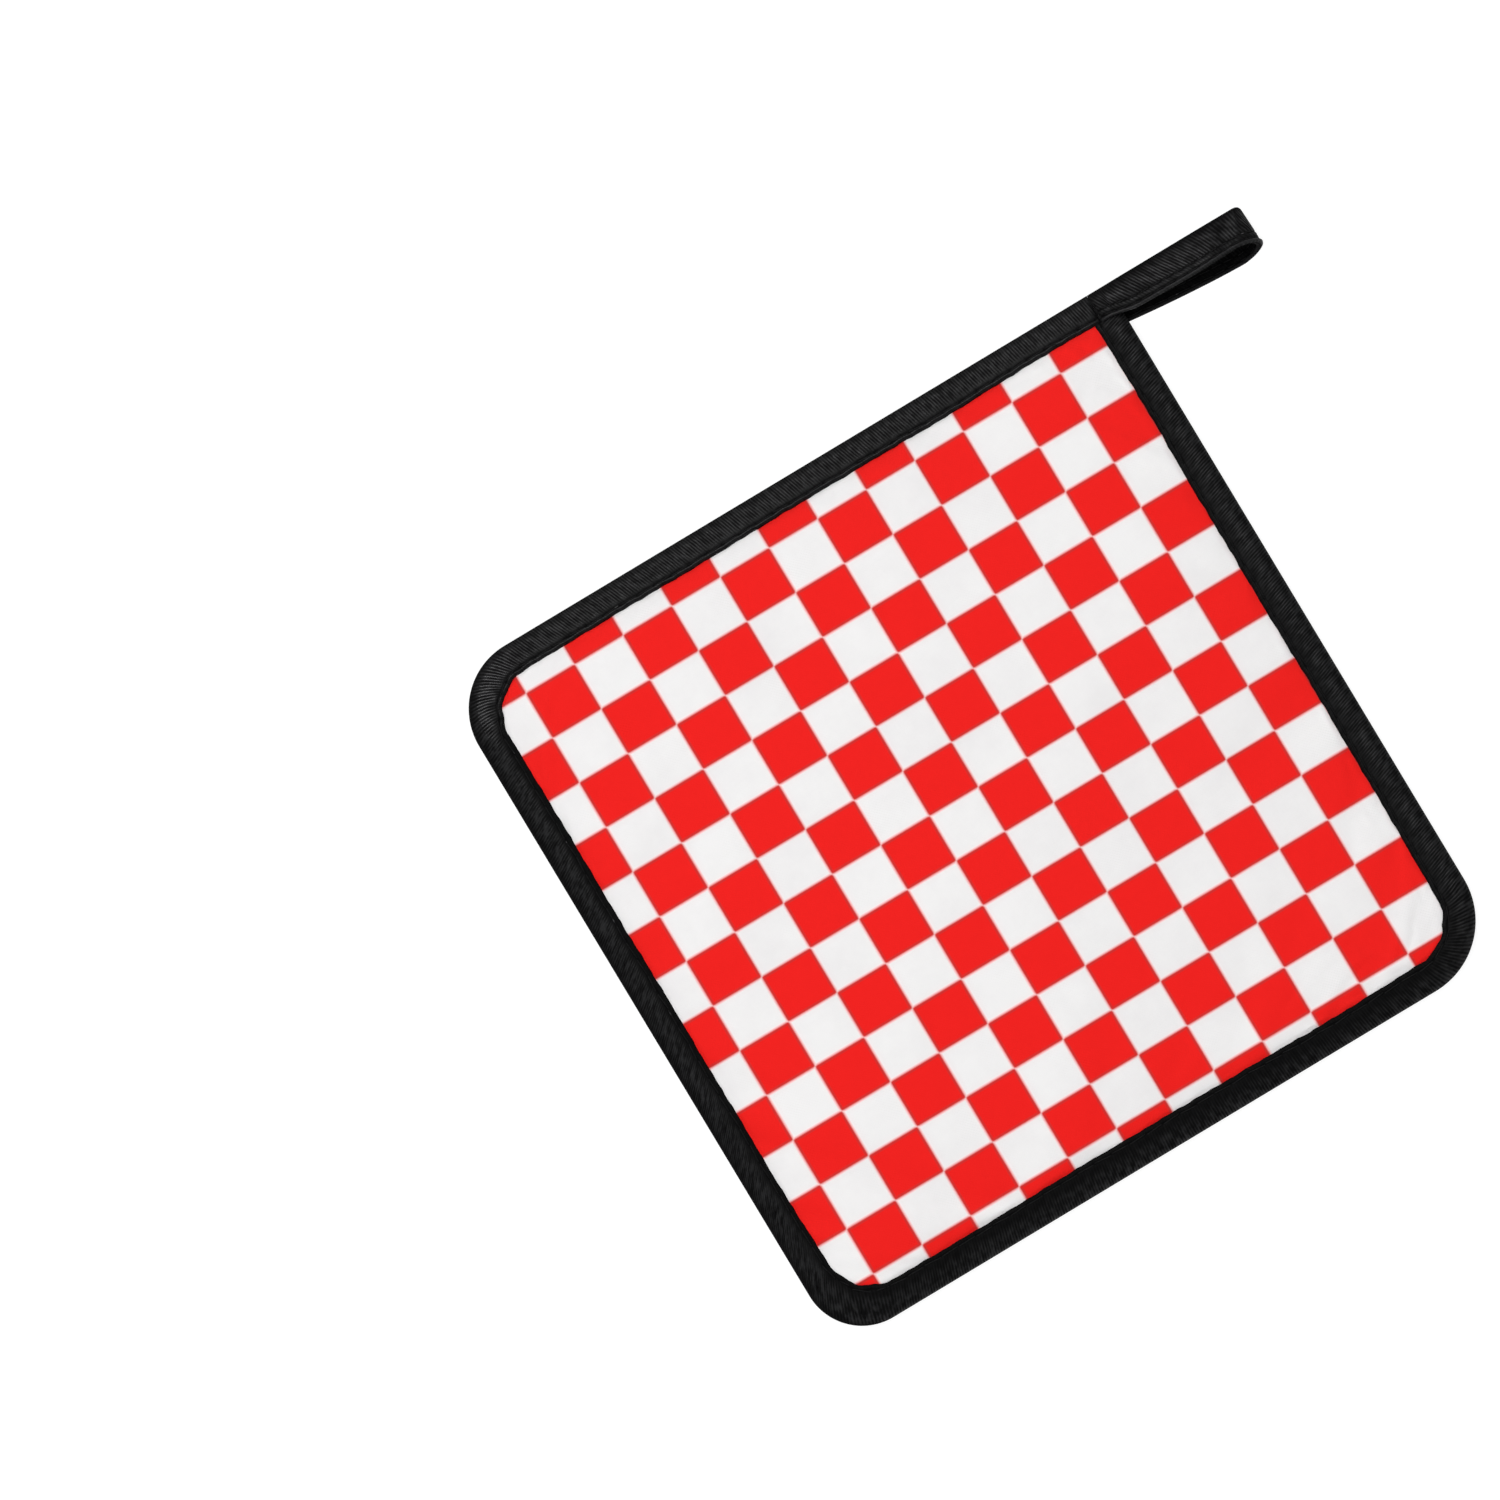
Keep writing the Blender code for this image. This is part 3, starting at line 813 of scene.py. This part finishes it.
def stitch_maker():
    """Geometry nodes that lay one stitch at each of a number of points along a seam's line."""
    tree = bpy.data.node_groups.new("lockstitch", "GeometryNodeTree")
    face = tree.interface
    for name, kind in (("Geometry", "Geometry"), ("Stitches", "Int"), ("Stitch Length", "Float"),
                       ("Thread Radius", "Float"), ("Sink", "Float"), ("Wander", "Float"),
                       ("Seed", "Int"), ("Thread", "Material")):
        face.new_socket(name, in_out="INPUT", socket_type="NodeSocket" + kind)
    face.new_socket("Geometry", in_out="OUTPUT", socket_type="NodeSocketGeometry")
    given = tree.nodes.new("NodeGroupInput").outputs
    result = tree.nodes.new("NodeGroupOutput")

    def node(kind, settings, sockets, out=0):
        return add_node(tree, kind, settings, sockets, out)

    def maths(operation, first, second):
        return node("ShaderNodeMath", {"operation": operation}, {0: first, 1: second})

    line = node("GeometryNodeMeshToCurve", {}, {"Mesh": given["Geometry"]})
    line = node("GeometryNodeResampleCurve", {"mode": "COUNT"},
                {"Curve": line, "Count": given["Stitches"]})
    up = node("GeometryNodeInputNamedAttribute", {"data_type": "FLOAT_VECTOR"}, {"Name": "seam_up"})
    turned = node("FunctionNodeAlignRotationToVector", {"axis": "X"},
                  {"Vector": node("GeometryNodeInputTangent", {}, {})})
    turned = node("FunctionNodeAlignRotationToVector", {"axis": "Z", "pivot_axis": "X"},
                  {"Rotation": turned, "Vector": up})
    wander = node("FunctionNodeRandomValue", {"data_type": "FLOAT"},
                  {"Min_001": maths("MULTIPLY", given["Wander"], -1), "Max_001": given["Wander"],
                   "Seed": given["Seed"]}, out=1)
    swing = node("ShaderNodeCombineXYZ", {}, {"Z": wander})
    turned = node("FunctionNodeRotateRotation", {"rotation_space": "LOCAL"},
                  {"Rotation": turned, "Rotate By": node("FunctionNodeEulerToRotation", {},
                                                         {"Euler": swing})})
    end = maths("MULTIPLY", given["Stitch Length"], 0.5)
    handle = maths("MULTIPLY", given["Stitch Length"], 0.42)
    down = maths("MULTIPLY", given["Sink"], -1)
    ends = [node("ShaderNodeCombineXYZ", {}, {"X": maths("MULTIPLY", reach, way), "Z": height})
            for reach, way, height in ((end, -1, down), (handle, -1, given["Thread Radius"]),
                                       (handle, 1, given["Thread Radius"]), (end, 1, down))]
    core = node("GeometryNodeCurvePrimitiveBezierSegment", {"mode": "POSITION"},
                {"Resolution": 7, "Start": ends[0], "Start Handle": ends[1], "End Handle": ends[2],
                 "End": ends[3]})
    profile = node("GeometryNodeCurvePrimitiveCircle", {"mode": "RADIUS"},
                   {"Resolution": 6, "Radius": given["Thread Radius"]})
    stitch = node("GeometryNodeCurveToMesh", {},
                  {"Curve": core, "Profile Curve": profile, "Fill Caps": True})
    row = node("GeometryNodeInstanceOnPoints", {},
               {"Points": line, "Instance": stitch, "Rotation": turned})
    row = node("GeometryNodeRealizeInstances", {}, {"Geometry": row})
    row = node("GeometryNodeSetShadeSmooth", {}, {"Geometry": row})
    row = node("GeometryNodeSetMaterial", {}, {"Geometry": row, "Material": given["Thread"]})
    tree.links.new(row, result.inputs["Geometry"])
    return tree


lockstitch = stitch_maker()
thread = Finish("black_thread", roughness=0.6, specular=0.04)
place = thread.place()
strand = thread.noise(place, 2500, 1, roughness=0.5)
# Rare lighter dots on the thread are painted glints.
glint = thread.noise(place, 420, 1, roughness=0.5)
light = (strand * 0.2 + glint.soft(0.70, 0.78)).between(0, 1)
thread.colour(thread.mix(light, THREAD_BLACK, THREAD_GLINT))
thread.bump(strand, 0.04 * MM)


def sewn(name, points, ups, stitches, length, seed):
    """A row of stitches along a line, each facing the way its place on the line says."""
    mesh = bpy.data.meshes.new(name)
    mesh.from_pydata(points.tolist(), [(k, k + 1) for k in range(len(points) - 1)], [])
    keep(mesh, "seam_up", "FLOAT_VECTOR", ups)
    row = placed(name, mesh)
    maker = row.modifiers.new("stitches", "NODES")
    maker.node_group = lockstitch
    sockets = {item.name: item.identifier for item in lockstitch.interface.items_tree
               if item.in_out == "INPUT"}
    for socket, value in (("Stitches", stitches), ("Stitch Length", length),
                          ("Thread Radius", THREAD), ("Sink", STITCH_SINK), ("Wander", STITCH_SWING),
                          ("Seed", seed), ("Thread", thread.material)):
        maker[sockets[socket]] = value
    finished(row, name)
    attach(row, "root")


def sewn_along(name, tape, seam, seams, side, seed, shape_seed):
    """A seam's stitches on the front (side 1) or the back (side -1) of a tape."""
    width = np.linalg.norm(tape.lip - tape.fold, axis=1)[:, None]
    across = width - seam.from_lip
    rise = tape_rise(tape, across, seams, shape_seed + (0 if side > 0 else BACK_SEED))
    rise = rise + 0.3 * seam.depth * seam.pull(tape.run)[:, None]
    points = tape_points(tape, across, side * (rise + 0.25 * THREAD))[:, 0]
    pitch = (seam.end - seam.start) / seam.count()
    used = (tape.run >= seam.start + pitch / 2) & (tape.run <= seam.end - pitch / 2)
    sewn(name, points[used], side * tape.front[used], seam.count(), STITCH_SHARE * pitch, seed)


for side, name in ((1, "binding_stitches_front"), (-1, "binding_stitches_back")):
    sewn_along(name, binding_tape, binding_seam, (binding_seam,), side, 11, BINDING_SHAPE)

# The hanging loop ----------------------------------------------------------------------------
# The same tape runs on past the corner. It is wrapped round the pad's corner at its root, sewn
# shut along its lip with two rows, turned back, and its tail is sewn behind the corner. It stands
# open wider along its lip than along its fold.


class Cut(NamedTuple):
    """The loop's tape cut across, in mm: the middles of its fold and its lip, and its walls."""
    x: float
    fold_y: float
    fold_z: float
    lip_y: float
    lip_z: float
    slot: float
    wall: float
    fold_round: float


ROOT_CUTS = (
    Cut(84.60, 89.35, 4.30, 83.45, 4.35, 1.32, 0.60, 2.10),
    Cut(85.40, 89.35, 4.30, 83.44, 4.38, 1.32, 1.15, 2.10),
    Cut(86.50, 89.35, 4.30, 83.42, 4.45, 1.32, 1.20, 2.10),
    Cut(88.50, 89.35, 4.35, 83.20, 4.75, 1.30, 1.15, 2.00),
    Cut(90.80, 89.35, 5.20, 82.75, 5.80, 0.80, 0.85, 1.40),
    Cut(93.50, 89.35, 6.35, 82.25, 6.85, 0.06, 0.60, 0.70),
    Cut(99.00, 89.35, 6.70, 82.05, 8.00, 0.04, 0.60, 0.65),
    Cut(109.0, 89.35, 7.00, 81.78, 9.70, 0.04, 0.60, 0.65),
)
TAIL_CUTS = (
    Cut(109.0, 87.00, 1.00, 78.68, 0.95, 0.04, 0.60, 0.65),
    Cut(99.00, 87.80, 0.97, 79.52, 0.95, 0.04, 0.60, 0.65),
    Cut(90.00, 88.55, 0.95, 80.50, 0.95, 0.04, 0.60, 0.65),
    Cut(83.60, 88.95, 0.95, 81.35, 0.95, 0.04, 0.60, 0.65),
)
TURN_STEPS = 8


class Turn(NamedTuple):
    """Half an ellipse from the front strap's edge round to the back strap's, in mm."""
    front: tuple               # y and z
    back: tuple
    start_x: float
    reach: float
    hold: float                # over 1, it keeps its place before it slips back under the strap

    def rows(self):
        turn = np.linspace(0, pi, TURN_STEPS + 1)
        over = (1 - np.cos(turn)) / 2
        return np.column_stack([self.start_x + self.reach * np.sin(turn),
                                self.front[0] + (self.back[0] - self.front[0]) * over ** self.hold,
                                self.front[1] + (self.back[1] - self.front[1]) * over])


FOLD_TURN = Turn((89.35, 7.30), (86.60, 1.05), 122.6, 2.4, 1.7)
LIP_TURN = Turn((82.00, 10.60), (78.10, 0.95), 119.0, 6.25, 1)
EDGE_RADIUS = 0.65 * MM        # from those middles to the fold's and the lip's outermost points
LOOP_LIP_ROUND = 0.35 * MM
# Painted shade lies along a 3 mm band at the loop's fold and on its back inside the loop, and a painted
# highlight on the ridge along its lip.
LOOP_LOOK = Look(0.58, 3.0 * MM, 1.0, 0.52, 1.0, 1.0 * MM)
LOOP_WEAVE = Weave(0.79 * MM, 0.3, 1.3)
TIP_X = 119.0 * MM             # it shines less just before its turn
TIP_REACH = 2.8 * MM
TIP_DULLNESS = 0.34
LOOP_STATION = 0.45 * MM
LOOP_STITCH = 3.1 * MM
LOOP_SEAMS_IN = (1.10 * MM, 2.70 * MM)


def loop_tape():
    walls = np.tile(ROOT_CUTS[-1][5:], (TURN_STEPS + 1, 1))
    rows = [np.array([[c.x, c.fold_y, c.fold_z, c.x, c.lip_y, c.lip_z, c.slot, c.wall, c.fold_round]
                      for c in cuts]) for cuts in (ROOT_CUTS, TAIL_CUTS)]
    rows.insert(1, np.column_stack([FOLD_TURN.rows(), LIP_TURN.rows(), walls]))
    rows = np.concatenate(rows)
    fine = smoothly(rows, np.linspace(0, len(rows) - 1, 2000)) * MM
    middle = (fine[:, 0:3] + fine[:, 3:6]) / 2
    run = np.concatenate([[0], np.cumsum(np.linalg.norm(np.diff(middle, axis=0), axis=1))])
    even = np.linspace(0, run[-1], round(run[-1] / LOOP_STATION) + 1)
    fine = np.column_stack([np.interp(even, run, column) for column in fine.T])
    fold, lip = fine[:, 0:3], fine[:, 3:6]
    inward = (lip - fold) / np.linalg.norm(lip - fold, axis=1, keepdims=True)
    ahead = np.gradient((fold + lip) / 2, axis=0)
    front = -np.cross(ahead, inward)
    front = front / np.linalg.norm(front, axis=1, keepdims=True)
    look = np.tile(LOOP_LOOK, (len(even), 1))
    look[:, LOOP_LOOK._fields.index("gloss")] -= (
        TIP_DULLNESS * np.exp(-((fold[:, 0] - TIP_X) / TIP_REACH) ** 2))
    return Tape(fold - inward * EDGE_RADIUS, lip + inward * EDGE_RADIUS, front,
                fine[:, 6], fine[:, 7], fine[:, 8], LOOP_LIP_ROUND, look, even, np.zeros(len(even)))


loop = loop_tape()
loop_seams = tuple(Seam(inset, LOOP_STITCH, 0.34 * MM, 1.0 * MM, loop.run[-1] - 1.5 * MM)
                   for inset in LOOP_SEAMS_IN)
strap = tape_piece("hanging_strap", loop, loop_seams, LOOP_SHAPE,
                   ribbed_tape("loop_tape", loop_seams, LOOP_WEAVE))
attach(strap, "root")
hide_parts("hanging_loop")

# The loop's stitches -------------------------------------------------------------------------
# Two rows shut the strap along its lip and show on both of its faces. A short seam across the
# tape, sewn to and fro, fixes the loop's root and its tail to the corner.
for seam, row in zip(loop_seams, ("lower", "upper")):
    for side, face in ((1, "outer"), (-1, "inner")):
        sewn_along(f"loop_stitches_{row}_{face}", loop, seam, loop_seams, side, 5, LOOP_SHAPE)

CROSS_X = 84.45 * MM
CROSS_STITCH = 1.71 * MM
CROSS_STITCHES = 3
CROSS_STATION = 2              # of the loop's tape, beside the seam
TAIL_LEVEL = 0.28 * MM         # of the tail's lower face, which the back stitches lie on
cross_in = np.linspace(2.2 * MM, 5.9 * MM, 40)
root_rise = tape_rise(loop, np.tile(cross_in, (len(loop.run), 1)), loop_seams,
                      LOOP_SHAPE)[CROSS_STATION]
for name, height, facing, shift in (
        ("cross_seam_front", EDGE_LEVEL + root_rise - 0.10 * MM, 1, 0),
        ("cross_seam_again", EDGE_LEVEL + root_rise - 0.04 * MM, 1, 0.32 * MM),
        ("cross_seam_back", np.full_like(cross_in, TAIL_LEVEL), -1, 0)):
    line = np.column_stack([np.full_like(cross_in, CROSS_X + shift), HALF - cross_in - 0.9 * shift,
                            height])
    sewn(name, line, np.tile([0.0, 0.0, facing], (len(line), 1)), CROSS_STITCHES, CROSS_STITCH, 3)

# The studio ----------------------------------------------------------------------------------
# A white table that shows hardly any shadow, two broad lamps, one overhead and one above the
# loop's side, and white light from all round.
FLOOR_HALF = 3.0
LAMP_SIZE = 0.9
LAMP_AWAY = 1.5
floor_mesh = bpy.data.meshes.new("studio_floor")
floor_level = -0.05 * MM
# It reaches further to one side, so that no line inside it passes below the pot holder.
floor_corners = [(x * FLOOR_HALF, y * FLOOR_HALF, floor_level)
                 for x, y in ((-1, -1), (1, -1), (1, 2), (-1, 2))]
floor_mesh.from_pydata(floor_corners, [], [(0, 1, 2, 3)])
floor = placed("studio_floor", floor_mesh)
table = Finish("white_table", roughness=0.9, specular=0.1)
table.colour((0.25, 0.25, 0.25, 1))
table.set("Emission Color", (1, 1, 1, 1))
table.set("Emission Strength", 0.86)
# From below it is clear, so that the pot holder's back can be looked at.
from_below = table.node("ShaderNodeNewGeometry", {}, {}, out=6)
table.set("Alpha", 1 - from_below)
floor_mesh.materials.append(table.material)

world = bpy.data.worlds.new("studio_air")
world.use_nodes = True
air = world.node_tree
backdrop = air.nodes["Background"]
direction = add_node(air, "ShaderNodeTexCoord", {}, {})
sideways = add_node(air, "ShaderNodeSeparateXYZ", {}, {"Vector": direction})
sideways = add_node(air, "ShaderNodeMath", {"operation": "ABSOLUTE"}, {0: sideways})
upward = add_node(air, "ShaderNodeSeparateXYZ", {}, {"Vector": direction}, out=2)
# It is dim overhead, and less bright towards the left and the right.
fades = [add_node(air, "ShaderNodeMapRange", {"interpolation_type": "SMOOTHSTEP"},
                  {"Value": way, "From Min": start, "From Max": end, "To Min": before, "To Max": after})
         for way, start, end, before, after in ((upward, 0.58, 0.84, 0.96, 0.09),
                                                (sideways, 0.3, 0.9, 1.0, 0.5))]
strength = add_node(air, "ShaderNodeMath", {"operation": "MULTIPLY"}, dict(enumerate(fades)))
feed(air, backdrop.inputs["Strength"], strength)
feed(air, backdrop.inputs["Color"], (1, 1, 1, 1))
bpy.context.scene.world = world


def softbox(name, way, energy):
    """A square lamp well above the table that faces the pot holder."""
    lamp = bpy.data.lights.new(name, "AREA")
    lamp.shape = "SQUARE"
    lamp.size = LAMP_SIZE
    lamp.energy = energy
    box = placed(name, lamp)
    box.location = way.normalized() * LAMP_AWAY
    box.rotation_euler = way.to_track_quat("Z", "Y").to_euler()
    box.visible_camera = False
    return box


# The first lights the cloth, the second only makes the tape shine.
softbox("softbox_above", Vector((-0.14, 0.14, 0.98)), 15.5).visible_glossy = False
softbox("softbox_side", Vector((0.01, 0.50, 0.86)), 50.0).visible_diffuse = False

# The camera looks straight down from far above. The picture's middle lies over this place, and
# its upper edge is turned towards the corner between the loop's side and the left one.
VIEW_X, VIEW_Y = -36.57 * MM, 39.91 * MM
VIEW_WIDTH = 348.4 * MM
VIEW_TURN = radians(-31.0)
VIEW_HEIGHT = 3.2
camera_data = bpy.data.cameras.new("camera")
camera_data.lens = camera_data.sensor_width * VIEW_HEIGHT / VIEW_WIDTH
camera = placed("camera", camera_data)
camera.location = (VIEW_X, VIEW_Y, VIEW_HEIGHT)
camera.rotation_euler = (0, 0, VIEW_TURN)
bpy.context.scene.camera = camera
bpy.context.scene.view_settings.view_transform = "Standard"
